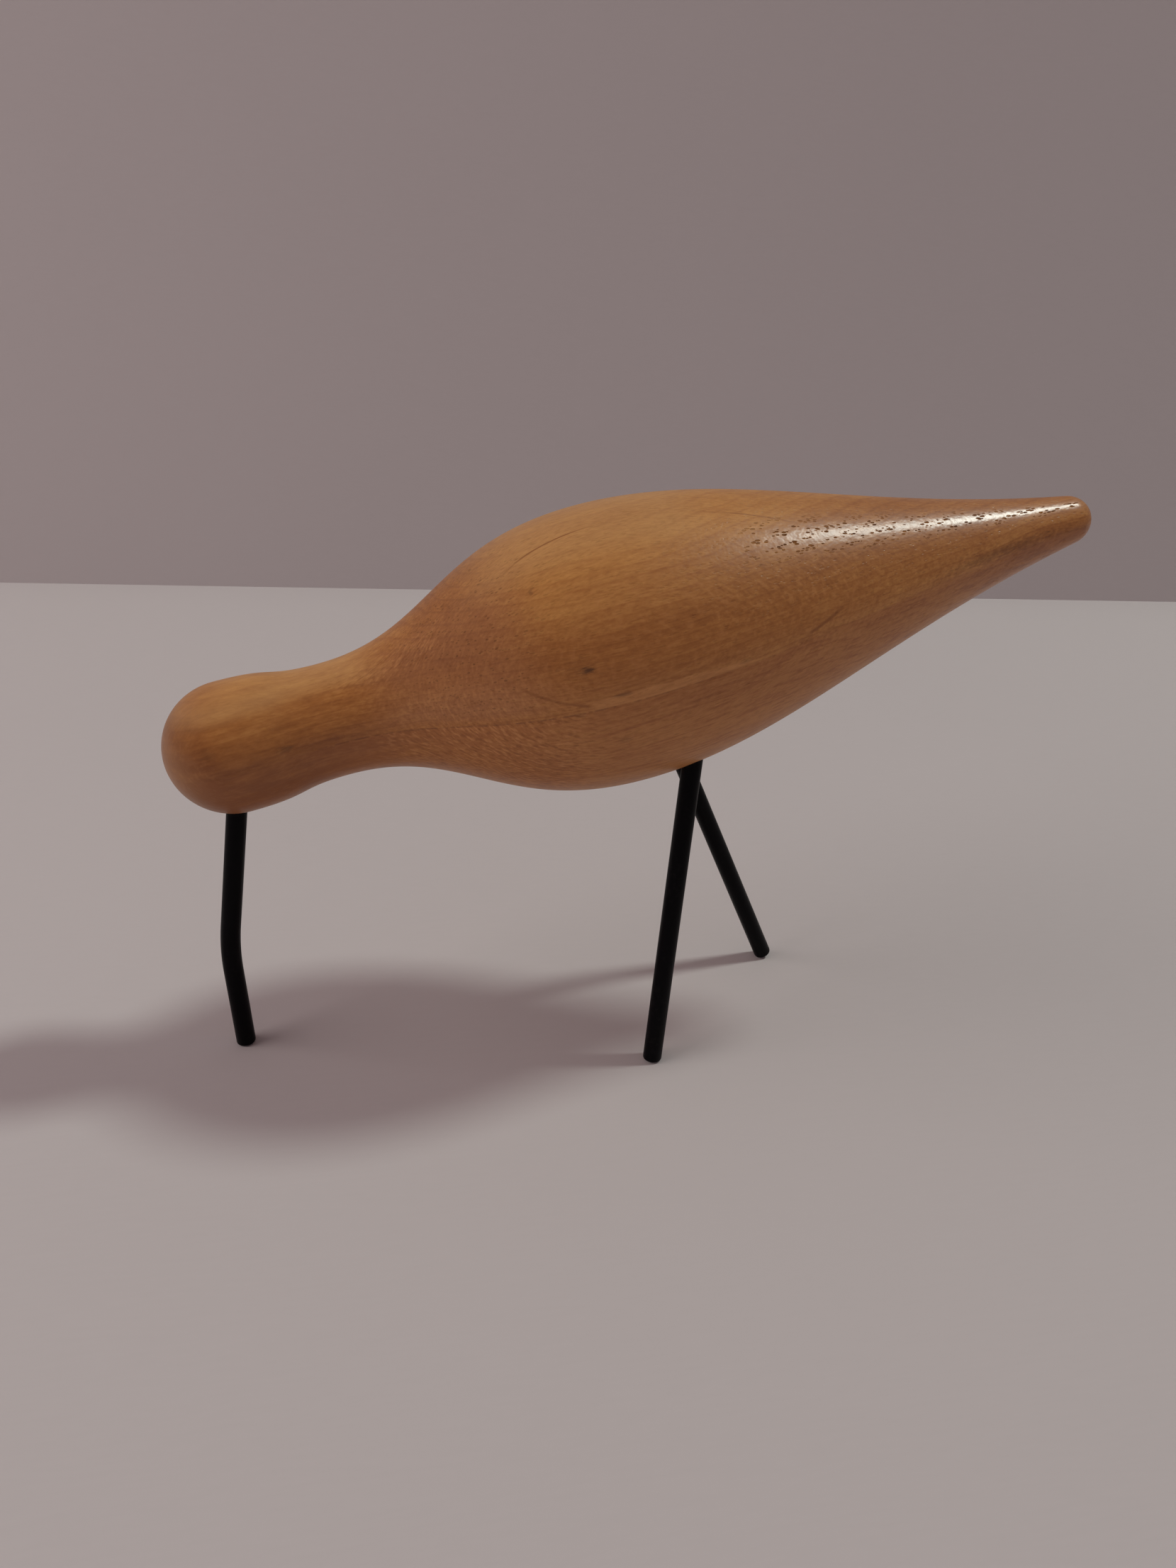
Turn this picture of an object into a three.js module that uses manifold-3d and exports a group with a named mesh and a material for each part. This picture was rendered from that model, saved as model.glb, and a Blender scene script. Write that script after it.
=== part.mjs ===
// A turned wooden shorebird, head down, standing on its bill and two legs of black rod.
// Millimetres, +Z up. X runs from the head to the tail, and the bird's left side faces -Y.
// While the pieces are laid out, X and Y are counted from the tip of the bill.
import * as THREE from 'three';
import { mergeVertices } from 'three/addons/utils/BufferGeometryUtils.js';
import Module from 'manifold-3d';

// Body: a turned form on a straight axis that rises towards the tail.
// Stations are distances along that axis from the front of the head.
const bodyLength = 232;
const bodyTilt = 14.5; // degrees
const headRadius = 15.9;
const headHeight = 87.5; // centre of the head above the ground
const headBehindBill = 4.9; // centre of the head behind the bill's tip
const neckStation = 40.5;
const neckRadius = 13.6;
const breastStation = 109;
const breastRadius = 33.75;
const tailRadius = 6;
const tailTaper = 10.5; // degrees, where the flank meets the round tail tip

// How far each curve of the outline runs straight on, as a share of the span it bridges
const headLead = 0.61;
const neckFrontLead = 0.53;
const neckBackLead = 0.41;
const breastFrontLead = 0.52;
const breastBackLead = 0.3;
const tailLead = 0.46;

// Rods and the blind holes they sit in
const rodDiameter = 5;
const rodRimRadius = 0.7; // rounding of the cut end that stands on the ground
const socketDepth = 14; // how deep a rod goes into the wood
const socketClearance = 0.3; // round the rod and behind its inner end

// Bill: a rod with one slow bend
const billStation = 11.4; // where it leaves the underside of the head
const billBendHeight = 30.5; // corner of the bend above the ground
const billBendForward = 1.4; // corner of the bend ahead of the tip
const billBendRadius = 75;

// Legs: both leave the belly at one station, and their feet stand apart
const legStation = 120.3;
const legOffset = 15.65; // each side of the middle, where a leg leaves the belly
const footOffset = 21.5; // each side of the middle, on the ground
const leftFootBehindBill = 107.5;
const rightFootBehindBill = 153;

// Fineness of the facets
const turnSides = 72;
const headRings = 9;
const flankRings = 11;
const tailRings = 5;
const rodSides = 28;
const rimRings = 3;
const bendRings = 8;

const rodRadius = rodDiameter / 2;
const up = new THREE.Vector3(0, 0, 1);

function woodMaterial() {
  return new THREE.MeshStandardMaterial({ color: 0x9a6636, roughness: 0.38, metalness: 0 });
}

function blackPaintMaterial() {
  return new THREE.MeshStandardMaterial({ color: 0x0b0a0c, roughness: 0.45, metalness: 0.1 });
}

// A round stretch of an outline, as points (radius, station), turning from the front to the back
function arcPoints(centreRadius, centreStation, radius, from, to, steps) {
  const points = [];
  for (let i = 0; i <= steps; i += 1) {
    const angle = THREE.MathUtils.lerp(from, to, i / steps);
    const station = centreStation - radius * Math.cos(angle);
    points.push(new THREE.Vector2(centreRadius + radius * Math.sin(angle), station));
  }
  return points;
}

// A smooth stretch between two points, level at its start and inward by a taper at its end
function flankPoints(start, startLead, end, taper, endLead) {
  const span = end.y - start.y;
  const leave = new THREE.Vector2(start.x, start.y + startLead * span);
  const arrive = new THREE.Vector2(
    end.x + endLead * span * Math.sin(taper),
    end.y - endLead * span * Math.cos(taper),
  );
  return new THREE.CubicBezierCurve(start, leave, arrive, end).getPoints(flankRings);
}

// The body's outline from the front of the head to the tip of the tail
function bodyOutline() {
  const quarter = Math.PI / 2;
  const taper = THREE.MathUtils.degToRad(tailTaper);
  const head = arcPoints(0, headRadius, headRadius, 0, quarter, headRings);
  const tail = arcPoints(0, bodyLength - tailRadius, tailRadius, quarter + taper, Math.PI, tailRings);
  const cheek = head[headRings];
  const neck = new THREE.Vector2(neckRadius, neckStation);
  const breast = new THREE.Vector2(breastRadius, breastStation);
  const toNeck = flankPoints(cheek, headLead, neck, 0, neckFrontLead);
  const toBreast = flankPoints(neck, neckBackLead, breast, 0, breastFrontLead);
  const toTail = flankPoints(breast, breastBackLead, tail[0], taper, tailLead);
  return [head, toNeck.slice(1), toBreast.slice(1), toTail.slice(1), tail.slice(1)].flat();
}

// The outline's radius at a station
function radiusAt(outline, station) {
  const next = outline.findIndex((point) => point.y >= station);
  const before = outline[next - 1];
  const after = outline[next];
  return THREE.MathUtils.mapLinear(station, before.y, after.y, before.x, after.x);
}

// The outline of a rod whose rounded end is at height zero, with a ring at each height given
function rodOutline(heights) {
  const quarter = Math.PI / 2;
  const rim = arcPoints(rodRadius - rodRimRadius, rodRimRadius, rodRimRadius, 0, quarter, rimRings);
  const wall = heights.map((height) => new THREE.Vector2(rodRadius, height));
  const innerEnd = new THREE.Vector2(0, heights[heights.length - 1]);
  return [new THREE.Vector2(0, 0), ...rim, ...wall, innerEnd];
}

// A turned form about its own +Z axis
function turned(outline, sides) {
  return new THREE.LatheGeometry(outline, sides).rotateX(Math.PI / 2);
}

// The place of a form that starts at a point and has its +Z axis along a direction
function frameAlong(start, direction) {
  const turn = new THREE.Quaternion().setFromUnitVectors(up, direction);
  return new THREE.Matrix4().compose(start, turn, new THREE.Vector3(1, 1, 1));
}

// How far up its own axis a leaning rod's end face lies when its rim rests on the ground
function restHeight(direction) {
  const upright = direction.z;
  const lean = Math.sqrt(1 - upright ** 2);
  return (rodRimRadius * (1 - upright) + (rodRadius - rodRimRadius) * lean) / upright;
}

// Merges a geometry into one closed solid that can be cut
function solidOf(wasm, geometry) {
  const bare = geometry.clone();
  bare.deleteAttribute('normal');
  bare.deleteAttribute('uv');
  const merged = mergeVertices(bare, 1e-4);
  const corners = merged.index.array;
  const kept = [];
  for (let i = 0; i < corners.length; i += 3) {
    const [a, b, c] = corners.slice(i, i + 3);
    if (a !== b && b !== c && c !== a) kept.push(a, b, c);
  }
  const vertProperties = new Float32Array(merged.attributes.position.array);
  return new wasm.Manifold(new wasm.Mesh({ numProp: 3, vertProperties, triVerts: new Uint32Array(kept) }));
}

// Turns a solid back into a geometry
function geometryOf(solid) {
  const mesh = solid.getMesh();
  const geometry = new THREE.BufferGeometry();
  geometry.setAttribute('position', new THREE.BufferAttribute(mesh.vertProperties, 3));
  geometry.setIndex(new THREE.BufferAttribute(mesh.triVerts, 1));
  geometry.computeVertexNormals();
  return geometry;
}

// A straight rod from inside its socket, whose mouth is given, down to the ground
function straightRod(mouth, foot) {
  const direction = mouth.clone().sub(foot).normalize();
  const face = foot.clone().addScaledVector(direction, restHeight(direction));
  const length = mouth.distanceTo(face) + socketDepth;
  const geometry = turned(rodOutline([length]), rodSides);
  return { geometry, frame: frameAlong(face, direction), mouth, direction };
}

// Lays the rings of a straight rod along a line, an arc towards +X and a line again
function bendRod(geometry, bendStart, bendAngle) {
  const bendLength = billBendRadius * bendAngle;
  const vertices = geometry.attributes.position;
  for (let i = 0; i < vertices.count; i += 1) {
    const along = vertices.getZ(i);
    const past = along - bendStart;
    const angle = THREE.MathUtils.clamp(past / billBendRadius, 0, bendAngle);
    const after = Math.max(past - bendLength, 0);
    const radius = billBendRadius - vertices.getX(i);
    vertices.setX(i, billBendRadius - radius * Math.cos(angle) + after * Math.sin(angle));
    vertices.setZ(i, Math.min(along, bendStart) + radius * Math.sin(angle) + after * Math.cos(angle));
  }
  geometry.computeVertexNormals();
}

// The bent rod from inside its socket in the head down to the ground
function bentRod(mouth, tip) {
  const corner = new THREE.Vector3(tip.x - billBendForward, tip.y, tip.z + billBendHeight);
  const lower = corner.clone().sub(tip).normalize();
  const upper = mouth.clone().sub(corner).normalize();
  const bendAngle = lower.angleTo(upper);
  const setback = billBendRadius * Math.tan(bendAngle / 2);
  const face = tip.clone().addScaledVector(lower, restHeight(lower));
  const bendStart = corner.distanceTo(face) - setback;
  const bendEnd = bendStart + billBendRadius * bendAngle;
  const length = bendEnd + mouth.distanceTo(corner) - setback + socketDepth;
  const rings = [];
  for (let i = 0; i <= bendRings; i += 1) {
    rings.push(THREE.MathUtils.lerp(bendStart, bendEnd, i / bendRings));
  }
  const geometry = turned(rodOutline([...rings, length]), rodSides);
  bendRod(geometry, bendStart, bendAngle);
  return { geometry, frame: frameAlong(face, lower), mouth, direction: upper };
}

// The blind hole a rod sits in, in the body's own frame. It starts well outside the wood.
function socketSolid(wasm, rod, bodyFrame) {
  const radius = rodRadius + socketClearance;
  const outside = -rodDiameter;
  const end = socketDepth + socketClearance;
  const outline = [
    new THREE.Vector2(0, outside),
    new THREE.Vector2(radius, outside),
    new THREE.Vector2(radius, end),
    new THREE.Vector2(0, end),
  ];
  const intoBody = bodyFrame.clone().invert().multiply(frameAlong(rod.mouth, rod.direction));
  return solidOf(wasm, turned(outline, rodSides).applyMatrix4(intoBody));
}

// The wooden body with a blind hole for each rod
function turnedBody(wasm, outline, bodyFrame, rods) {
  let solid = solidOf(wasm, turned(outline, turnSides));
  for (const rod of rods) solid = solid.subtract(socketSolid(wasm, rod, bodyFrame));
  return geometryOf(solid);
}

function namedMesh(name, geometry, material, frame) {
  const mesh = new THREE.Mesh(geometry, material);
  mesh.name = name;
  frame.decompose(mesh.position, mesh.quaternion, mesh.scale);
  return mesh;
}

// Where the body lies
const tiltAngle = THREE.MathUtils.degToRad(bodyTilt);
const alongBody = new THREE.Vector3(Math.cos(tiltAngle), 0, Math.sin(tiltAngle));
const underBody = new THREE.Vector3(Math.sin(tiltAngle), 0, -Math.cos(tiltAngle));
const headCentre = new THREE.Vector3(headBehindBill, 0, headHeight);
const nose = headCentre.clone().addScaledVector(alongBody, -headRadius);
const tailCentre = nose.clone().addScaledVector(alongBody, bodyLength - tailRadius);
const bodyFrame = frameAlong(nose, alongBody);
const outline = bodyOutline();

// The point on the underside of the body at a station, a given distance to one side
function pointUnderBody(station, side) {
  const drop = Math.sqrt(radiusAt(outline, station) ** 2 - side ** 2);
  const point = nose.clone().addScaledVector(alongBody, station).addScaledVector(underBody, drop);
  point.y += side;
  return point;
}

const leftFoot = new THREE.Vector3(leftFootBehindBill, -footOffset, 0);
const rightFoot = new THREE.Vector3(rightFootBehindBill, footOffset, 0);
const bill = bentRod(pointUnderBody(billStation, 0), new THREE.Vector3(0, 0, 0));
const leftLeg = straightRod(pointUnderBody(legStation, -legOffset), leftFoot);
const rightLeg = straightRod(pointUnderBody(legStation, legOffset), rightFoot);

const wasm = await Module();
wasm.setup();
const bodyGeometry = turnedBody(wasm, outline, bodyFrame, [bill, leftLeg, rightLeg]);

const bird = new THREE.Group();
bird.add(namedMesh('turned_body', bodyGeometry, woodMaterial(), bodyFrame));
bird.add(namedMesh('bill_rod', bill.geometry, blackPaintMaterial(), bill.frame));
bird.add(namedMesh('left_leg_rod', leftLeg.geometry, blackPaintMaterial(), leftLeg.frame));
bird.add(namedMesh('right_leg_rod', rightLeg.geometry, blackPaintMaterial(), rightLeg.frame));

// The origin lies on the ground, halfway between the front of the head and the tip of the tail
const frontEnd = headCentre.x - headRadius;
const backEnd = tailCentre.x + tailRadius;
bird.position.x = -(frontEnd + backEnd) / 2;

const group = new THREE.Group();
group.name = 'shorebird';
group.add(bird);

export default group;
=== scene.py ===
import math
import bpy
from mathutils import Euler, Matrix, Vector


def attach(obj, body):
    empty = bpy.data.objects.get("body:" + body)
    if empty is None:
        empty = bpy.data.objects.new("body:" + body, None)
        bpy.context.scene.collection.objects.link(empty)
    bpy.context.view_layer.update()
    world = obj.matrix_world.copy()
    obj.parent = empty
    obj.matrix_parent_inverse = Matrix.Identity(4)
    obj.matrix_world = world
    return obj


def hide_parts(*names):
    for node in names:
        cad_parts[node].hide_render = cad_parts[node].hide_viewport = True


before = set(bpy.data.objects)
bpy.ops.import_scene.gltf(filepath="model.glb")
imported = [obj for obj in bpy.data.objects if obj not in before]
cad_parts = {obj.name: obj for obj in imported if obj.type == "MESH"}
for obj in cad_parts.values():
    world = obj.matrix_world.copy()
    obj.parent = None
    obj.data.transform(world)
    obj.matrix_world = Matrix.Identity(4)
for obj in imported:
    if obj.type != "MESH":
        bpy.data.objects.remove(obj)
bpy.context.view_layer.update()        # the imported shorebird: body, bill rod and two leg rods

mm = 0.001
closeBy = 0.01 * mm                  # points nearer than this to a plane count as on it
smoothAngle = math.radians(35)       # edges flatter than this are shaded round
print("frame loaded:", ", ".join(sorted(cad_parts)))


# Sizes of the bird, in mm. Stations run along the body from the front of the head.
bodySizes = {
    "length": 232, "tilt": 14.5,
    "headRadius": 15.9, "headX": -96.758, "headZ": 87.5,
    "neckStation": 40.5, "neckRadius": 13.6,
    "breastStation": 109, "breastRadius": 33.75,
    "tailRadius": 6, "tailTaper": 10.5, "poleAngle": 3, "tailPoleAngle": 4,
    "headLead": 0.61, "neckFrontLead": 0.53, "neckBackLead": 0.41,
    "breastFrontLead": 0.52, "breastBackLead": 0.3, "tailLead": 0.46,
    "sides": 96, "headRings": 22, "neckRings": 16, "breastRings": 30, "backRings": 40, "tipRings": 16,
}

tilt = math.radians(bodySizes["tilt"])
alongBody = Vector((math.cos(tilt), 0, math.sin(tilt)))
underBody = Vector((math.sin(tilt), 0, -math.cos(tilt)))
nose = Vector((bodySizes["headX"], 0, bodySizes["headZ"])) - alongBody * bodySizes["headRadius"]


# Camera, from a fit to the outline and the rods in the photograph. Place in mm, turns in degrees.
cameraSizes = {
    "x": -61.97, "y": -255.46, "z": 203.85, "down": 26.627, "left": 11.348, "roll": 2.478,
    "lens": 26.186, "sensor": 36, "near": 10, "far": 20000,
}
cameraData = bpy.data.cameras.new("photoCamera")
cameraData.sensor_width = cameraSizes["sensor"]
cameraData.lens = cameraSizes["lens"]
cameraData.clip_start = cameraSizes["near"] * mm
cameraData.clip_end = cameraSizes["far"] * mm
camera = bpy.data.objects.new("photoCamera", cameraData)
bpy.context.scene.collection.objects.link(camera)
camera.matrix_world = (
    Matrix.Translation(Vector((cameraSizes["x"], cameraSizes["y"], cameraSizes["z"])) * mm)
    @ Matrix.Rotation(math.radians(-cameraSizes["left"]), 4, "Z")
    @ Matrix.Rotation(math.radians(90 - cameraSizes["down"]), 4, "X")
    @ Matrix.Rotation(math.radians(cameraSizes["roll"]), 4, "Z")
)
bpy.context.scene.camera = camera
bpy.context.scene.view_settings.view_transform = "Standard"
print("camera placed")


# Node helpers
def addNode(tree, kind, **settings):
    node = tree.nodes.new(kind)
    for name, value in settings.items():
        setattr(node, name, value)
    return node


def plug(tree, value, socket):
    if isinstance(value, bpy.types.NodeSocket):
        tree.links.new(value, socket)
    else:
        socket.default_value = value


def calc(tree, operation, first, second=0.0, third=0.0, clamp=False):
    node = addNode(tree, "ShaderNodeMath", operation=operation, use_clamp=clamp)
    for value, socket in zip((first, second, third), node.inputs):
        plug(tree, value, socket)
    return node.outputs[0]


def total(tree, *values):
    result = values[0]
    for value in values[1:]:
        result = calc(tree, "ADD", result, value)
    return result


def times(tree, *values):
    result = values[0]
    for value in values[1:]:
        result = calc(tree, "MULTIPLY", result, value)
    return result


# From newLow where the value is low to newHigh where it is high. Low may be the larger of the two.
def remap(tree, value, low, high, newLow=0.0, newHigh=1.0, smooth=True):
    kind = "SMOOTHSTEP" if smooth else "LINEAR"
    node = addNode(tree, "ShaderNodeMapRange", interpolation_type=kind)
    for given, name in ((value, "Value"), (low, "From Min"), (high, "From Max"),
                        (newLow, "To Min"), (newHigh, "To Max")):
        plug(tree, given, node.inputs[name])
    return node.outputs[0]


def between(tree, value, low, high, edge):
    rise = remap(tree, value, low - edge, low + edge)
    return times(tree, rise, remap(tree, value, high - edge, high + edge, 1, 0))


# A noise made to swing evenly up and down, by half the amount each way
def swing(tree, value, amount):
    return calc(tree, "MULTIPLY_ADD", value, amount, -amount / 2)


def placed(tree, vector, location=(0, 0, 0), rotation=(0, 0, 0), scale=(1, 1, 1)):
    node = addNode(tree, "ShaderNodeMapping")
    plug(tree, vector, node.inputs["Vector"])
    node.inputs["Location"].default_value = location
    node.inputs["Rotation"].default_value = rotation
    node.inputs["Scale"].default_value = scale
    return node.outputs[0]


def noise(tree, vector, scale=1.0, detail=2.0, roughness=0.5):
    node = addNode(tree, "ShaderNodeTexNoise")
    plug(tree, vector, node.inputs["Vector"])
    node.inputs["Scale"].default_value = scale
    node.inputs["Detail"].default_value = detail
    node.inputs["Roughness"].default_value = roughness
    return node.outputs[0]


# Noise with its grain size given along each axis of the vector
def sizedNoise(tree, vector, size, detail=2.0, roughness=0.5):
    return noise(tree, placed(tree, vector, scale=[1 / length for length in size]),
                 detail=detail, roughness=roughness)


def splitVector(tree, vector):
    node = addNode(tree, "ShaderNodeSeparateXYZ")
    plug(tree, vector, node.inputs[0])
    return node.outputs


def joinVector(tree, *values):
    node = addNode(tree, "ShaderNodeCombineXYZ")
    for value, socket in zip(values, node.inputs):
        plug(tree, value, socket)
    return node.outputs[0]


def mixColour(tree, amount, first, second):
    node = addNode(tree, "ShaderNodeMix", data_type="RGBA")
    plug(tree, amount, node.inputs[0])
    plug(tree, first, node.inputs[6])
    plug(tree, second, node.inputs[7])
    return node.outputs[2]


def addBump(tree, height, depth, strength=1.0):
    node = addNode(tree, "ShaderNodeBump")
    node.inputs["Strength"].default_value = strength
    node.inputs["Distance"].default_value = depth * mm
    tree.links.new(height, node.inputs["Height"])
    return node.outputs[0]


def newMaterial(name):
    material = bpy.data.materials.new(name)
    material.use_nodes = True
    tree = material.node_tree
    tree.nodes.clear()
    output = addNode(tree, "ShaderNodeOutputMaterial")
    shader = addNode(tree, "ShaderNodeBsdfPrincipled")
    tree.links.new(shader.outputs[0], output.inputs[0])
    coordinates = addNode(tree, "ShaderNodeTexCoord")
    return material, tree, shader, coordinates.outputs["Object"]


# Wood under clear lacquer. The pattern is solid and counted in mm on the body's own axes: station from the
# front of the head, height and right from the middle line. sideAngle is in radians down from the top, on
# either side, and offLine is the height above the long line. A zone gives limits on some of these axes:
# two limits fade in from the first to the second, and three are low, high and the softness of both edges.
woodColours = {
    "light": (0.61, 0.285, 0.075, 1), "middle": (0.43, 0.165, 0.037, 1), "dark": (0.27, 0.086, 0.016, 1),
    # pale is painted light, laid on the top of the head and of the back
    "under": (0.42, 0.147, 0.038, 1), "shoulder": (0.41, 0.188, 0.096, 1), "pale": (0.66, 0.40, 0.17, 1),
    "nose": (0.31, 0.148, 0.055, 1), "fleck": (0.70, 0.33, 0.11, 1), "pore": (0.06, 0.022, 0.008, 1),
    "line": (0.13, 0.035, 0.012, 1), "mark": (0.055, 0.023, 0.011, 1),
}


def inZone(tree, axes, zone):
    shares = []
    for name, limits in zone.items():
        fade = between if len(limits) == 3 else remap
        shares.append(fade(tree, axes[name], *limits))
    return times(tree, *shares)


def zoneSum(tree, axes, zones):
    return total(tree, *[times(tree, inZone(tree, axes, zone), amount) for zone, amount in zones])


def bodyAxes(tree, place):
    start = Euler((0, tilt, 0)).to_matrix() @ nose
    body = placed(tree, place, location=-start, rotation=(0, tilt, 0), scale=(1 / mm, 1 / mm, 1 / mm))
    station, right, height = splitVector(tree, body)
    axes = {
        "station": station, "right": right, "height": height,
        "sideAngle": calc(tree, "ARCTAN2", calc(tree, "ABSOLUTE", right), height),
        "offLine": calc(tree, "SUBTRACT", height, lineLook["height"]),
    }
    return body, axes


# Growth rings: nearly flat layers that wander a little, with a slow curve
ringLook = {
    "turn": -15, "gap": 2.2, "wander": 4.0, "wanderSize": (45, 16, 16), "bowLength": 260,
    "early": (0.0, 0.34, 0.06), "earlyTone": 0.05, "late": (0.82, 0.97, 0.07), "lateTone": -0.30,
}


def growRings(tree, body, axes):
    grown = placed(tree, body, rotation=(-math.radians(ringLook["turn"]), 0, 0))
    across, depth = splitVector(tree, grown)[1:]
    wander = sizedNoise(tree, grown, ringLook["wanderSize"], detail=1)
    bow = times(tree, across, across, 1 / ringLook["bowLength"])
    layer = total(tree, depth, bow, times(tree, wander, ringLook["wander"]))
    ringPart = calc(tree, "FRACT", calc(tree, "DIVIDE", layer, ringLook["gap"]))
    return joinVector(tree, axes["station"], across, layer), ringPart, wander


# Kinds of grain: size along the body, across it and through the rings, then detail and roughness
grainLook = {
    "broad": ((70, 14, 8), 2, 0.5),
    "streak": ((11, 2.2, 1.4), 3, 0.6),
    "fibre": ((3.2, 0.42, 0.42), 2, 0.6),
    "grit": ((1.1, 0.4, 0.4), 1, 0.5),
    "blotch": ((9, 3, 2.2), 3, 0.6),
    "veins": ((38, 1.8, 0.7), 1, 0.5),
    "flecks": ((2.0, 0.36, 1.7), 1, 0.5),
}

# Tone: 0 is dark, 0.5 middle and 1 light wood
toneLook = {
    "start": 0.5, "broad": 0.8, "streak": 0.66, "fibre": 0.56, "grit": 0.5,
    "blotch": 1.0, "blotchZone": {"station": (70, 48)},
    "veins": (0.46, 0.38), "veinZone": {"height": (1, -3), "station": (90, 106)}, "veinTone": -0.36,
    "underStreak": 0.6, "underStreakZone": {"height": (2, -4), "station": (88, 102)},
    # the head shows less grain, and the flank a little less
    "calmHead": (20, 62, 0.4, 1),
    "calmFlank": {"station": (88, 165, 6), "height": (-1, 3)}, "calmLoss": -0.24,
    "zones": (
        ({"height": (8.5, 13.5), "station": (62, 50)}, 0.22),       # gold top of the head and neck
        ({"height": (5, 13), "station": (62, 80, 6)}, -0.10),       # shoulder
        ({"height": (12, 29), "station": (80, 96)}, 0.34),          # back, lighter on top: painted light from above
        ({"height": (6, -8)}, 0.08),                                # underside, lighter: painted light bounced up from the floor
        ({"height": (6, -8), "station": (84, 100)}, 0.26),          # belly, lighter: painted light bounced up from the floor
        ({"station": (21, 12)}, -0.24),                             # front of the head
        ({"station": (192, 215)}, -0.04),                           # tail
        ({"station": (194, 214), "height": (4, 0)}, -0.34),         # tail, underneath, darker: painted shade
        ({"station": (62, 40), "height": (10, 3)}, -0.24),          # lower side of the head, darker: painted shade
        ({"station": (48, 28), "height": (0, -10)}, -0.24),         # head, underneath, darker: painted shade
    ),
}


def woodTone(tree, axes, grain, ringPart):
    look = toneLook
    flank = times(tree, inZone(tree, axes, look["calmFlank"]), look["calmLoss"])
    calm = times(tree, remap(tree, axes["station"], *look["calmHead"]), calc(tree, "ADD", flank, 1))
    late = times(tree, between(tree, ringPart, *ringLook["late"]), grain["streak"], ringLook["lateTone"])
    veins = times(tree, remap(tree, grain["veins"], *look["veins"]), inZone(tree, axes, look["veinZone"]))
    underStreak = times(tree, swing(tree, grain["streak"], look["underStreak"]),
                        inZone(tree, axes, look["underStreakZone"]))
    return total(
        tree, look["start"],
        swing(tree, grain["broad"], look["broad"]),
        times(tree, swing(tree, grain["streak"], look["streak"]), calm),
        times(tree, swing(tree, grain["fibre"], look["fibre"]), calm),
        times(tree, swing(tree, grain["grit"], look["grit"]), calm),
        times(tree, swing(tree, grain["blotch"], look["blotch"]), inZone(tree, axes, look["blotchZone"])),
        underStreak,
        times(tree, veins, look["veinTone"]),
        times(tree, late, calm),
        times(tree, between(tree, ringPart, *ringLook["early"]), ringLook["earlyTone"]),
        zoneSum(tree, axes, look["zones"]),
    )


# Tints laid over the tone, each with its share
tintLook = {
    "underZone": {"offLine": (0.15, -0.15)}, "underShare": (26, 56, 0.2, 0.45),      # grows along the body
    "shoulderZone": {"station": (54, 88, 8), "height": (-1, 3), "sideAngle": (0.3, 0.7)},
    "shoulderShare": 0.32,
    # the pale tint on the top of the head and the back is painted light from above
    "paintedLightHead": {"height": (9.5, 12.5), "station": (60, 46)}, "paleTop": (13, 15.5, 1, 0.5),
    "paintedLightBack": {"sideAngle": (0.7, 0.42), "station": (80, 132, 8)}, "paintedLightShare": 0.3,
    "noseZone": {"station": (14, 3)}, "noseShare": 0.6,
}


def woodTints(tree, axes, tone):
    look = tintLook
    darkHalf = remap(tree, tone, 0, 0.5, smooth=False)
    lightHalf = remap(tree, tone, 0.5, 1, smooth=False)
    underGrowth = remap(tree, axes["station"], *look["underShare"])
    towardsTop = remap(tree, axes["height"], *look["paleTop"])
    colour = mixColour(tree, darkHalf, woodColours["dark"], woodColours["middle"])
    colour = mixColour(tree, lightHalf, colour, woodColours["light"])
    under = times(tree, inZone(tree, axes, look["underZone"]), underGrowth)
    shoulder = times(tree, inZone(tree, axes, look["shoulderZone"]), look["shoulderShare"])
    # pale mix: painted light on the top of the head and the back
    paintedLightHead = times(tree, inZone(tree, axes, look["paintedLightHead"]), towardsTop)
    pale = times(tree, total(tree, paintedLightHead, inZone(tree, axes, look["paintedLightBack"])), look["paintedLightShare"])
    front = times(tree, inZone(tree, axes, look["noseZone"]), look["noseShare"])
    for share, name in ((under, "under"), (shoulder, "shoulder"), (pale, "pale"), (front, "nose")):
        colour = mixColour(tree, share, colour, woodColours[name])
    return colour


# Flecks: short ribbons that stand across the rings, lighter and darker
fleckLook = {
    "light": (0.53, 0.70), "dark": (0.47, 0.30), "darkShare": 1.4, "share": (40, 60, 0.08, 0.15),
    "zones": (
        ({"station": (60, 92, 8), "height": (13, 2)}, 0.10),
        ({"offLine": (0.15, -0.15), "station": (52, 96, 6)}, 0.20),
        ({"station": (128, 166, 8), "sideAngle": (0.85, 1.3, 0.1)}, 0.10),
        ({"station": (44, 70, 5), "sideAngle": (0.5, 0.8, 0.1)}, 0.22),
    ),
}


def addFlecks(tree, axes, flecks, colour):
    look = fleckLook
    share = total(tree, remap(tree, axes["station"], *look["share"]), zoneSum(tree, axes, look["zones"]))
    light = times(tree, remap(tree, flecks, *look["light"]), share)
    dark = times(tree, remap(tree, flecks, *look["dark"]), share, look["darkShare"])
    colour = mixColour(tree, light, colour, woodColours["fleck"])
    return mixColour(tree, dark, colour, woodColours["dark"])


# The long dashed line halfway up the side, faint towards both ends
lineLook = {
    "height": -0.6, "halfWidth": 0.34, "share": 0.52, "dashSize": (1.6, 9, 9), "dashes": (0.35, 0.6),
    "front": (32, 46, 0.2, 1), "rear": (96, 130, 1, 0.25),
}


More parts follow.
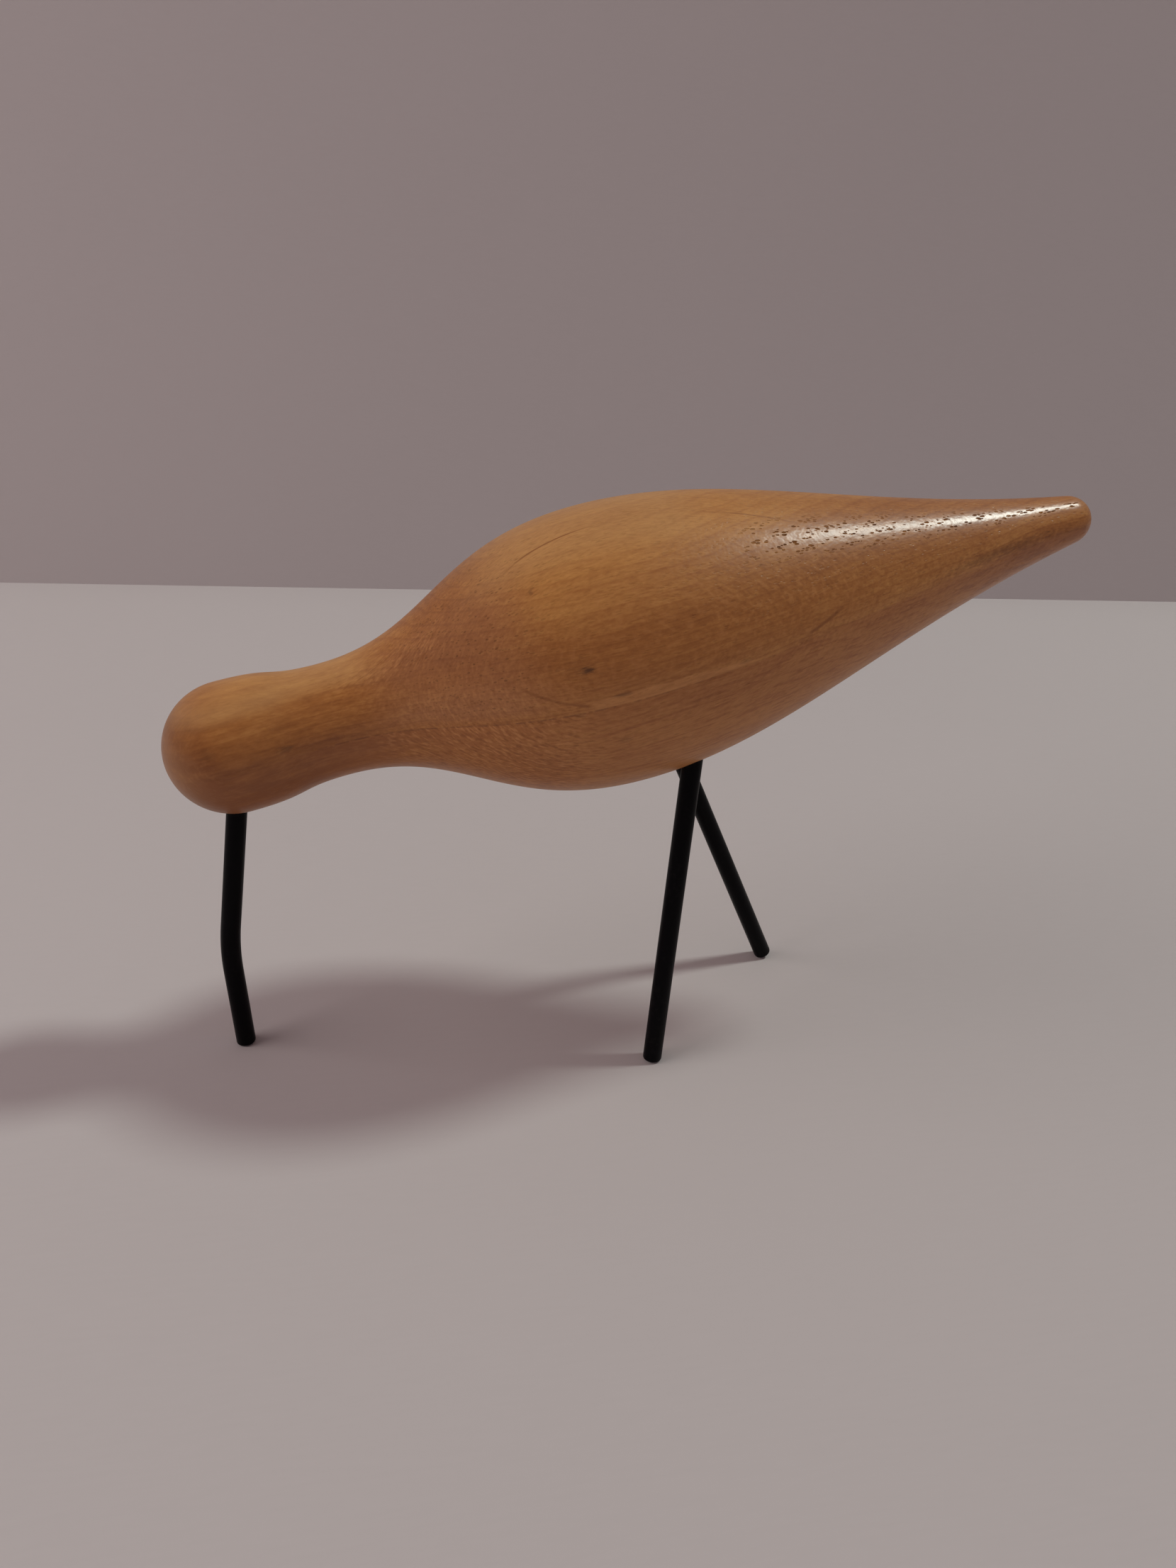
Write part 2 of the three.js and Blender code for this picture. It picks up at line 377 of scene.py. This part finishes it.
def addLine(tree, body, axes, colour):
    look = lineLook
    dashes = remap(tree, sizedNoise(tree, body, look["dashSize"]), *look["dashes"])
    ends = [remap(tree, axes["station"], *look[end]) for end in ("rear", "front")]
    across = remap(tree, calc(tree, "ABSOLUTE", axes["offLine"]), 0, look["halfWidth"], 1, 0)
    return mixColour(tree, times(tree, across, dashes, *ends, look["share"]), colour, woodColours["line"])


# A lighter band that lies on the line at the breast, on the left side alone
bandLook = {
    "top": (118, 139, 1.7, 0.2), "topWander": 0.8, "topEdge": (0.2, -0.25),
    "zone": {"offLine": (0.0, 0.3), "station": (99, 135, 4)}, "share": (0.35, 0.6, 0.38, 0.6),
}


def addBand(tree, axes, streak, colour):
    look = bandLook
    top = total(tree, remap(tree, axes["station"], *look["top"]), swing(tree, streak, look["topWander"]))
    belowTop = remap(tree, calc(tree, "SUBTRACT", axes["height"], top), *look["topEdge"])
    leftSide = calc(tree, "LESS_THAN", axes["right"], 0)
    band = times(tree, inZone(tree, axes, look["zone"]), belowTop, leftSide)
    share = times(tree, band, remap(tree, streak, *look["share"]))
    return mixColour(tree, share, colour, woodColours["fleck"])


# The oval line on the left flank: a slanting, bent sheet that the surface cuts, with its darker stretches
ovalLook = {
    "turn": 55.6, "depth": 24.34, "middle": 120, "skew": -0.222, "slope": 0.0643, "bend": -0.00357,
    "wander": 1.2, "inner": 0.04, "halfWidth": (8, 20, 0.36, 0.26), "lowest": -0.5,
    "share": 0.8, "faintest": 0.12,
    "stretches": (
        ({"height": (22, 26), "station": (91, 106, 5)}, 1.0),
        ({"height": (9, 4), "station": (150, 158, 2)}, 1.0),
        ({"height": (13, 9), "station": (85, 98, 1.2)}, 0.6),
        ({"height": (20, 24), "station": (138, 153, 4)}, 0.55),
    ),
}


def addOval(tree, axes, wander, colour):
    look = ovalLook
    turn = math.radians(look["turn"])
    height, right = axes["height"], axes["right"]
    along = calc(tree, "SUBTRACT", axes["station"], look["middle"])
    outwards = total(tree, times(tree, height, math.cos(turn)), times(tree, right, -math.sin(turn)))
    sideways = total(tree, times(tree, height, -math.sin(turn)), times(tree, right, -math.cos(turn)),
                     times(tree, along, look["skew"]))
    sheet = total(tree, outwards, times(tree, sideways, sideways, look["bend"]),
                  times(tree, along, look["slope"]), swing(tree, wander, look["wander"]), -look["depth"])
    halfWidth = remap(tree, height, *look["halfWidth"])
    line = remap(tree, calc(tree, "ABSOLUTE", sheet), look["inner"], halfWidth, 1, 0)
    shown = calc(tree, "ADD", zoneSum(tree, axes, look["stretches"]), look["faintest"], clamp=True)
    leftSide = calc(tree, "LESS_THAN", right, 0)
    aboveLine = calc(tree, "GREATER_THAN", height, look["lowest"])
    share = times(tree, line, shown, leftSide, aboveLine, look["share"])
    return mixColour(tree, share, colour, woodColours["dark"])


# Small dark marks on the left side: place, half size, strength. Their ends are frayed along the grain.
markLook = {"fray": 1.8, "edge": (0.05, 1.15)}
marks = (
    ((99.2, -32.0, 8.6), (2.3, 2.0, 0.85), 0.75),      # small knot
    ((97.5, -32.0, 9.6), (6.0, 3.0, 2.6), 0.12),       # its shadow in the wood
    ((105.2, -33.6, 1.6), (3.0, 2.0, 0.45), 0.42),
    ((104.0, -32.1, -9.7), (1.8, 2.0, 1.0), 0.22),
    ((133.8, -31.0, 0.5), (1.9, 2.0, 0.7), 0.32),
    ((92.0, -20.3, 24.6), (0.7, 1.0, 0.6), 0.40),
    ((95.3, -32.6, -1.1), (1.8, 2.0, 0.5), 0.25),
    ((13.5, -14.8, 5.4), (2.2, 3.0, 1.6), 0.26),       # two soft spots on the head
    ((30.0, -14.4, 2.0), (2.2, 3.0, 1.0), 0.42),
    ((200.0, -10.5, 1.2), (26.0, 6.0, 1.7), 0.32),     # a long dark streak low on the tail
)


def addMarks(tree, body, fibre, colour):
    fray = swing(tree, fibre, markLook["fray"])
    for where, size, strength in marks:
        centred = placed(tree, body, location=[-value / half for value, half in zip(where, size)],
                         scale=[1 / half for half in size])
        reach = addNode(tree, "ShaderNodeVectorMath", operation="LENGTH")
        plug(tree, centred, reach.inputs[0])
        frayed = calc(tree, "ADD", reach.outputs["Value"], fray)
        share = remap(tree, frayed, *markLook["edge"], strength, 0)
        colour = mixColour(tree, share, colour, woodColours["mark"])
    return colour


# Pores: short tubes along the grain, kept where a ring begins. Their radius is a share of the gap between
# them. Near the tail they stand open in a band on either side and show dark in the highlight; their colour
# there is also darkened, which is painted shade in the pits under the highlight.
poreLook = {
    "gap": 0.5, "run": 2.2, "earlyPart": 0.52, "keptEarly": 0.88, "keptLate": 0.03,
    "radius": 0.21, "radiusSpread": 0.26, "openWider": 0.07, "wall": 0.7,
    "open": {"station": (136, 148), "sideAngle": [math.radians(angle) for angle in (31, 49, 9)]},
    # the next number darkens the pore colour in the open band: painted shade in the pits under the highlight
    "paintedPitShade": 0.52,
    "shade": (50, 80, 0.05, 0.11), "shadeLow": 0.55, "shadeSpread": 0.9,
    "shoulder": {"station": (60, 90, 8), "height": (0, 4)}, "shoulderShade": 0.2,
}


def woodPores(tree, bent, axes):
    look = poreLook
    cells = addNode(tree, "ShaderNodeTexVoronoi", feature="F1")
    cells.inputs["Scale"].default_value = 1
    cellScale = (1 / look["run"], 1 / look["gap"], 1 / look["gap"])
    plug(tree, placed(tree, bent, scale=cellScale), cells.inputs["Vector"])
    chance = splitVector(tree, cells.outputs["Color"])
    centreDepth = splitVector(tree, cells.outputs["Position"])[2]
    centreRing = calc(tree, "FRACT", calc(tree, "MULTIPLY", centreDepth, look["gap"] / ringLook["gap"]))
    early = calc(tree, "LESS_THAN", centreRing, look["earlyPart"])
    keptShare = calc(tree, "MULTIPLY_ADD", early, look["keptEarly"], look["keptLate"])
    kept = calc(tree, "LESS_THAN", chance[0], keptShare)
    opened = inZone(tree, axes, look["open"])
    radius = total(tree, calc(tree, "MULTIPLY_ADD", chance[1], look["radiusSpread"], look["radius"]),
                   times(tree, opened, look["openWider"]))
    inside = remap(tree, cells.outputs["Distance"], times(tree, radius, look["wall"]), radius, 1, 0)
    pore = times(tree, inside, kept)
    depth = total(tree, remap(tree, axes["station"], *look["shade"]),
                  times(tree, inZone(tree, axes, look["shoulder"]), look["shoulderShade"]),
                  times(tree, opened, look["paintedPitShade"]))
    varied = calc(tree, "MULTIPLY_ADD", chance[2], look["shadeSpread"], look["shadeLow"])
    return {"pore": pore, "opened": opened, "shade": times(tree, pore, depth, varied)}


# Lacquer: a satin coat that is missing inside a pore, thinner underneath and ahead of the tail
glossLook = {
    "roughness": 0.5, "specular": 0.4, "coatWeight": 0.45, "coatRoughness": 0.24, "coatIor": 1.5,
    "bare": (0.45, 0.95), "underneath": (2, -22, 1, 0.55), "alongBody": (168, 200, 0.74, 1),
    "tail": {"station": (188, 217, 6)}, "tailGain": 0.24,
}


def addLacquer(tree, shader, axes, pores):
    look = glossLook
    openPore = times(tree, pores["pore"], pores["opened"])       # an open pore holds no gloss
    rough = calc(tree, "MULTIPLY_ADD", openPore, 1 - look["roughness"], look["roughness"])
    tree.links.new(rough, shader.inputs["Roughness"])
    shader.inputs["Specular IOR Level"].default_value = look["specular"]
    bare = remap(tree, pores["pore"], *look["bare"])
    coat = calc(tree, "MULTIPLY_ADD", bare, -look["coatWeight"], look["coatWeight"])
    tail = calc(tree, "MULTIPLY_ADD", inZone(tree, axes, look["tail"]), look["tailGain"], 1)
    coat = times(tree, coat, remap(tree, axes["height"], *look["underneath"]),
                 remap(tree, axes["station"], *look["alongBody"]), tail)
    tree.links.new(coat, shader.inputs["Coat Weight"])
    shader.inputs["Coat Roughness"].default_value = look["coatRoughness"]
    shader.inputs["Coat IOR"].default_value = look["coatIor"]


# Relief: fibres, the slow waves of the lacquer, and pores as pits
reliefLook = {
    "depth": 0.1, "fibre": 0.12, "waves": 0.5, "waveScale": 0.8,
    "pit": {"station": (50, 70)}, "pitDepth": 0.2, "openPitDepth": 1.3,
}


def addRelief(tree, shader, body, axes, fibre, pores):
    look = reliefLook
    waves = noise(tree, body, scale=look["waveScale"], detail=1)
    pitDepth = total(tree, times(tree, inZone(tree, axes, look["pit"]), look["pitDepth"]),
                     times(tree, pores["opened"], look["openPitDepth"]))
    relief = total(tree, times(tree, fibre, look["fibre"]), times(tree, waves, look["waves"]),
                   times(tree, pores["pore"], pitDepth, -1))
    bump = addBump(tree, relief, look["depth"])
    tree.links.new(bump, shader.inputs["Normal"])
    tree.links.new(bump, shader.inputs["Coat Normal"])


def lacqueredWood():
    material, tree, shader, place = newMaterial("lacqueredWood")
    body, axes = bodyAxes(tree, place)
    bent, ringPart, wander = growRings(tree, body, axes)
    grain = {name: sizedNoise(tree, bent, *look) for name, look in grainLook.items()}
    pores = woodPores(tree, bent, axes)
    colour = woodTints(tree, axes, woodTone(tree, axes, grain, ringPart))
    colour = addFlecks(tree, axes, grain["flecks"], colour)
    colour = addLine(tree, body, axes, colour)
    colour = addBand(tree, axes, grain["streak"], colour)
    colour = addOval(tree, axes, wander, colour)
    colour = addMarks(tree, body, grain["fibre"], colour)
    colour = mixColour(tree, pores["shade"], colour, woodColours["pore"])
    tree.links.new(colour, shader.inputs["Base Color"])
    addLacquer(tree, shader, axes, pores)
    addRelief(tree, shader, body, axes, grain["fibre"], pores)
    return material


# Satin black paint on round steel bar, with faint wear. Noise scales are per metre.
paintLook = {
    "colour": (0.0013, 0.0011, 0.0019, 1), "worn": (0.006, 0.0055, 0.006, 1), "specular": 0.07,
    "speckScale": 900, "cloudScale": 60, "wornCloud": (0.45, 0.75), "wornSpeck": (0.45, 0.7),
    "roughness": (0.3, 0.7, 0.36, 0.46), "bumpDepth": 0.03, "bumpStrength": 0.25,
}


def blackPaint():
    material, tree, shader, place = newMaterial("blackPaint")
    look = paintLook
    speck = noise(tree, place, scale=look["speckScale"], detail=3)
    cloud = noise(tree, place, scale=look["cloudScale"], detail=2)
    worn = times(tree, remap(tree, cloud, *look["wornCloud"]), remap(tree, speck, *look["wornSpeck"]))
    tree.links.new(mixColour(tree, worn, look["colour"], look["worn"]), shader.inputs["Base Color"])
    tree.links.new(remap(tree, cloud, *look["roughness"]), shader.inputs["Roughness"])
    shader.inputs["Specular IOR Level"].default_value = look["specular"]
    tree.links.new(addBump(tree, speck, look["bumpDepth"], look["bumpStrength"]), shader.inputs["Normal"])
    return material


wood = lacqueredWood()
paint = blackPaint()
print("materials made")


# Modelling helpers
def startPiece(name):
    piece = bpy.context.active_object
    piece.name = name
    piece.data.name = name
    return piece


def deselectAll():
    if bpy.context.object and bpy.context.object.mode != "OBJECT":
        bpy.ops.object.mode_set(mode="OBJECT")
    bpy.ops.object.select_all(action="DESELECT")


def makeActive(piece):
    deselectAll()
    piece.select_set(True)
    bpy.context.view_layer.objects.active = piece


# Selects the points that pass the test and nothing else, and stays in edit mode
def selectPoints(piece, test):
    bpy.ops.object.mode_set(mode="EDIT")
    bpy.ops.mesh.select_mode(type="VERT")
    bpy.ops.mesh.select_all(action="DESELECT")
    bpy.ops.object.mode_set(mode="OBJECT")
    for vertex in piece.data.vertices:
        vertex.select = test(vertex.co)
    bpy.ops.object.mode_set(mode="EDIT")


def turnNormalsOut():
    bpy.ops.mesh.select_all(action="SELECT")
    bpy.ops.mesh.normals_make_consistent(inside=False)
    bpy.ops.object.mode_set(mode="OBJECT")


def placePiece(piece, matrix):
    makeActive(piece)
    piece.matrix_world = matrix
    bpy.ops.object.transform_apply(location=True, rotation=True, scale=True)


def finishPiece(piece, node, material):
    piece.data.materials.clear()
    piece.data.materials.append(material)
    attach(piece, "root")
    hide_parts(node)


# The turned outline: round head, slow neck, full breast, long taper and a round tail tip
def roundPoints(centre, radius, first, last, steps):
    points = []
    for step in range(steps + 1):
        angle = first + (last - first) * step / steps
        points.append((centre - radius * math.cos(angle), radius * math.sin(angle)))
    return points


def flankPoints(start, startLead, end, taper, endLead, steps):
    span = end[0] - start[0]
    leave = Vector((start[0] + startLead * span, start[1]))
    arrive = Vector((end[0] - endLead * span * math.cos(taper), end[1] + endLead * span * math.sin(taper)))
    points = []
    for step in range(1, steps + 1):
        t = step / steps
        point = (Vector(start) * (1 - t) ** 3 + leave * 3 * t * (1 - t) ** 2
                 + arrive * 3 * t * t * (1 - t) + Vector(end) * t ** 3)
        points.append((point.x, point.y))
    return points


def bodyOutline(sizes):
    taper = math.radians(sizes["tailTaper"])
    tailCentre = sizes["length"] - sizes["tailRadius"]
    firstAngle = math.radians(sizes["poleAngle"])
    lastAngle = math.pi - math.radians(sizes["tailPoleAngle"])
    head = roundPoints(sizes["headRadius"], sizes["headRadius"], firstAngle, math.pi / 2, sizes["headRings"])
    tail = roundPoints(tailCentre, sizes["tailRadius"], math.pi / 2 + taper, lastAngle, sizes["tipRings"])
    neck = (sizes["neckStation"], sizes["neckRadius"])
    breast = (sizes["breastStation"], sizes["breastRadius"])
    toNeck = flankPoints(head[-1], sizes["headLead"], neck, 0, sizes["neckFrontLead"], sizes["neckRings"])
    toBreast = flankPoints(neck, sizes["neckBackLead"], breast, 0, sizes["breastFrontLead"],
                           sizes["breastRings"])
    toTail = flankPoints(breast, sizes["breastBackLead"], tail[0], taper, sizes["tailLead"],
                         sizes["backRings"])
    return head + toNeck + toBreast + toTail + tail[1:]


outline = bodyOutline(bodySizes)


def radiusAt(station):
    for before, after in zip(outline, outline[1:]):
        if before[0] <= station <= after[0]:
            share = (station - before[0]) / (after[0] - before[0])
            return before[1] + (after[1] - before[1]) * share


def pointUnderBody(station, side):
    drop = math.sqrt(radiusAt(station) ** 2 - side ** 2)
    point = nose + alongBody * station + underBody * drop
    return Vector((point.x, side, point.z))


# Rods: where each enters the wood and where it stands, in mm
rodSizes = {
    "radius": 2.5, "rim": 0.7, "sides": 48, "rimSteps": 5,
    "socketDepth": 14, "socketGap": 0.06, "socketEndGap": 0.3, "cutterReach": 6,
    "tipX": -101.658, "billStation": 11.4,
    "bendHeight": 30.5, "bendForward": 1.4, "bendRadius": 75, "bendSteps": 20,
    "legStation": 120.3, "legOffset": 15.65, "footOffset": 21.5, "leftFoot": 107.5, "rightFoot": 153,
}


# How high the middle of a rod's cut end is, when its rounded rim touches the ground
def restHeight(direction):
    lean = math.sqrt(1 - direction.z ** 2)
    rim = rodSizes["rim"]
    return (rim * (1 - direction.z) + (rodSizes["radius"] - rim) * lean) / direction.z


def frameAlong(start, direction):
    turn = Vector((0, 0, 1)).rotation_difference(direction)
    return Matrix.LocRotScale(start * mm, turn, None)


tip = Vector((rodSizes["tipX"], 0, 0))
corner = tip + Vector((-rodSizes["bendForward"], 0, rodSizes["bendHeight"]))
billMouth = pointUnderBody(rodSizes["billStation"], 0)
legMouths = [pointUnderBody(rodSizes["legStation"], side * rodSizes["legOffset"]) for side in (-1, 1)]
feet = [Vector((tip.x + rodSizes["leftFoot"], -rodSizes["footOffset"], 0)),
        Vector((tip.x + rodSizes["rightFoot"], rodSizes["footOffset"], 0))]
billUpper = (billMouth - corner).normalized()
legDirections = [(mouth - foot).normalized() for mouth, foot in zip(legMouths, feet)]


def cutSocket(piece, mouth, direction):
    deselectAll()
    radius = rodSizes["radius"] + rodSizes["socketGap"]
    depth = rodSizes["socketDepth"] + rodSizes["socketEndGap"]
    reach = rodSizes["cutterReach"]      # how far the cutter stands out of the wood
    bpy.ops.mesh.primitive_cylinder_add(vertices=rodSizes["sides"], radius=radius * mm,
                                        depth=(depth + reach) * mm, location=(0, 0, (depth - reach) / 2 * mm))
    cutter = startPiece("socketCutter")
    placePiece(cutter, frameAlong(mouth, direction))
    makeActive(piece)
    bpy.ops.object.modifier_add(type="BOOLEAN")
    cut = piece.modifiers[-1]
    cut.operation = "DIFFERENCE"
    cut.solver = "EXACT"
    cut.object = cutter
    bpy.ops.object.modifier_apply(modifier=cut.name)
    bpy.data.objects.remove(cutter)


def turnBody():
    deselectAll()
    station, radius = outline[0]
    bpy.ops.mesh.primitive_circle_add(vertices=bodySizes["sides"], radius=radius * mm, fill_type="NOTHING",
                                      location=(station * mm, 0, 0), rotation=(0, math.pi / 2, 0))
    piece = startPiece("turnedWood")
    bpy.ops.object.transform_apply(location=True, rotation=True, scale=True)
    bpy.ops.object.mode_set(mode="EDIT")
    bpy.ops.mesh.select_all(action="SELECT")
    for (before, oldRadius), (after, newRadius) in zip(outline, outline[1:]):
        bpy.ops.mesh.extrude_region_move(TRANSFORM_OT_translate={"value": ((after - before) * mm, 0, 0)})
        share = newRadius / oldRadius
        bpy.ops.transform.resize(value=(1, share, share), center_override=(after * mm, 0, 0))
    toTip = bodySizes["length"] - outline[-1][0]
    bpy.ops.mesh.extrude_region_move(TRANSFORM_OT_translate={"value": (toTip * mm, 0, 0)})
    bpy.ops.mesh.merge(type="CENTER")
    selectPoints(piece, lambda point: point.x < station * mm + closeBy)
    bpy.ops.mesh.extrude_region_move(TRANSFORM_OT_translate={"value": (-station * mm, 0, 0)})
    bpy.ops.mesh.merge(type="CENTER")
    turnNormalsOut()
    bpy.ops.object.modifier_add(type="SUBSURF")
    smooth = piece.modifiers[-1]
    smooth.levels = 1
    smooth.render_levels = 1
    bpy.ops.object.modifier_apply(modifier=smooth.name)
    placePiece(piece, frameAlong(nose, alongBody) @ Matrix.Rotation(-math.pi / 2, 4, "Y"))
    cutSocket(piece, billMouth, billUpper)
    for mouth, direction in zip(legMouths, legDirections):
        cutSocket(piece, mouth, direction)
    makeActive(piece)
    bpy.ops.object.shade_smooth_by_angle(angle=smoothAngle)
    finishPiece(piece, "turned_body", wood)
    return piece


# Rounds both ends: the far one is still selected from the extrude, and the foot's rim is added to it
def roundEnds(piece):
    bpy.ops.object.mode_set(mode="OBJECT")
    for edge in piece.data.edges:
        if max(piece.data.vertices[i].co.z for i in edge.vertices) < closeBy:
            edge.select = True
    bpy.ops.object.mode_set(mode="EDIT")
    bpy.ops.mesh.select_mode(type="EDGE")
    bpy.ops.mesh.bevel(offset=rodSizes["rim"] * mm, offset_type="OFFSET",
                       segments=rodSizes["rimSteps"], profile=0.5)
    turnNormalsOut()


def startRod(name, length):
    deselectAll()
    bpy.ops.mesh.primitive_circle_add(vertices=rodSizes["sides"], radius=rodSizes["radius"] * mm,
                                      fill_type="NGON")
    piece = startPiece(name)
    bpy.ops.object.mode_set(mode="EDIT")
    bpy.ops.mesh.select_all(action="SELECT")
    bpy.ops.mesh.extrude_region_move(TRANSFORM_OT_translate={"value": (0, 0, length * mm)})
    return piece


def finishRod(piece, face, direction, node):
    roundEnds(piece)
    placePiece(piece, frameAlong(face, direction))
    bpy.ops.object.shade_smooth_by_angle(angle=smoothAngle)
    finishPiece(piece, node, paint)


def straightRod(name, mouth, foot, direction, node):
    face = foot + direction * restHeight(direction)
    piece = startRod(name, (mouth - face).length + rodSizes["socketDepth"])
    finishRod(piece, face, direction, node)


def bentRod(name, node):
    lower = (corner - tip).normalized()
    bend = lower.angle(billUpper)
    setback = rodSizes["bendRadius"] * math.tan(bend / 2)
    face = tip + lower * restHeight(lower)
    bendStart = (corner - face).length - setback
    piece = startRod(name, bendStart)
    bpy.ops.mesh.spin(steps=rodSizes["bendSteps"], angle=bend,
                      center=(rodSizes["bendRadius"] * mm, 0, bendStart * mm), axis=(0, -1, 0))
    length = (billMouth - corner).length - setback + rodSizes["socketDepth"]
    bpy.ops.mesh.extrude_region_move(
        TRANSFORM_OT_translate={"value": (length * mm * math.sin(bend), 0, length * mm * math.cos(bend))})
    finishRod(piece, face, lower, node)


birdWood = turnBody()
print("body turned:", len(birdWood.data.polygons), "faces")
bentRod("billBar", "bill_rod")
straightRod("leftLegBar", legMouths[0], feet[0], legDirections[0], "left_leg_rod")
straightRod("rightLegBar", legMouths[1], feet[1], legDirections[1], "right_leg_rod")
print("rods made")


# Floor and backdrop in pale grey. Sizes in metres, turned about the foot of the wall behind the tail.
stageLook = {
    "colour": (0.605, 0.565, 0.568, 1), "shade": (0.3, 0.28, 0.27, 1), "roughness": 0.85, "specular": 0.15,
    "weaveSize": (1 / 120, 1 / 900, 1 / 900), "cloudScale": 6, "base": 0.93, "weave": 0.06, "cloud": 0.06,
    "wallY": 0.395, "halfWidth": 1.6, "front": -1.4, "wallHeight": 1.1,
    "turn": -6.2, "turnPlace": (0.068, 0.395, 0),
}


def paleStage():
    material, tree, shader, place = newMaterial("paleStage")
    look = stageLook
    weave = sizedNoise(tree, place, look["weaveSize"])
    cloud = noise(tree, place, scale=look["cloudScale"])
    tone = total(tree, calc(tree, "MULTIPLY_ADD", weave, look["weave"], look["base"]),
                 times(tree, cloud, look["cloud"]))
    shade = calc(tree, "SUBTRACT", 1, tone, clamp=True)
    tree.links.new(mixColour(tree, shade, look["colour"], look["shade"]), shader.inputs["Base Color"])
    shader.inputs["Roughness"].default_value = look["roughness"]
    shader.inputs["Specular IOR Level"].default_value = look["specular"]
    deselectAll()
    bpy.ops.mesh.primitive_plane_add(size=1, location=(0, (look["wallY"] + look["front"]) / 2, 0))
    piece = startPiece("paleStage")
    piece.scale = (look["halfWidth"] * 2, look["wallY"] - look["front"], 1)
    bpy.ops.object.transform_apply(location=True, rotation=True, scale=True)
    selectPoints(piece, lambda point: point.y > look["wallY"] - closeBy)
    bpy.ops.mesh.select_mode(type="EDGE")
    bpy.ops.mesh.extrude_region_move(TRANSFORM_OT_translate={"value": (0, 0, look["wallHeight"])})
    turnNormalsOut()
    turnPlace = Matrix.Translation(Vector(look["turnPlace"]))
    placePiece(piece, turnPlace @ Matrix.Rotation(math.radians(look["turn"]), 4, "Z") @ turnPlace.inverted())
    piece.data.materials.append(material)


paleStage()


# Soft studio light: one lamp high behind the tail, a broad panel at the left and a pale room. In metres.
lightLook = {
    "aim": (0, 0, 0.08), "lampAzimuth": 5, "lampHeight": 57, "lampDistance": 2.5, "lampSize": 0.36,
    "lampPower": 22.5, "lampColour": (0.93, 1.0, 0.92),
    "panelSize": 1.2, "panelPower": 7.6, "panelColour": (1.0, 0.9, 0.86), "panelPlace": (-1.3, -0.1, 0.8),
    "roomColour": (0.186, 0.141, 0.150, 1), "roomStrength": 1.0,
}


def addLamp(name, size, power, colour, place, aim):
    data = bpy.data.lights.new(name, "AREA")
    data.shape = "DISK"
    data.size = size
    data.energy = power
    data.color = colour
    lamp = bpy.data.objects.new(name, data)
    bpy.context.scene.collection.objects.link(lamp)
    lamp.location = place
    lamp.rotation_euler = (aim - place).to_track_quat("-Z", "Y").to_euler()
    return lamp


aim = Vector(lightLook["aim"])
azimuth = math.radians(lightLook["lampAzimuth"])
rise = math.radians(lightLook["lampHeight"])
towards = Vector((math.cos(azimuth) * math.cos(rise), math.sin(azimuth) * math.cos(rise), math.sin(rise)))
addLamp("keyLamp", lightLook["lampSize"], lightLook["lampPower"], lightLook["lampColour"],
        aim + towards * lightLook["lampDistance"], aim)
sidePanel = addLamp("sidePanel", lightLook["panelSize"], lightLook["panelPower"], lightLook["panelColour"],
                    Vector(lightLook["panelPlace"]), aim)
sidePanel.visible_glossy = False       # it lights the wood and draws no patch in the lacquer
world = bpy.data.worlds.new("paleRoom")
bpy.context.scene.world = world
world.use_nodes = True
background = world.node_tree.nodes["Background"]
background.inputs["Color"].default_value = lightLook["roomColour"]
background.inputs["Strength"].default_value = lightLook["roomStrength"]
print("stage and light set")
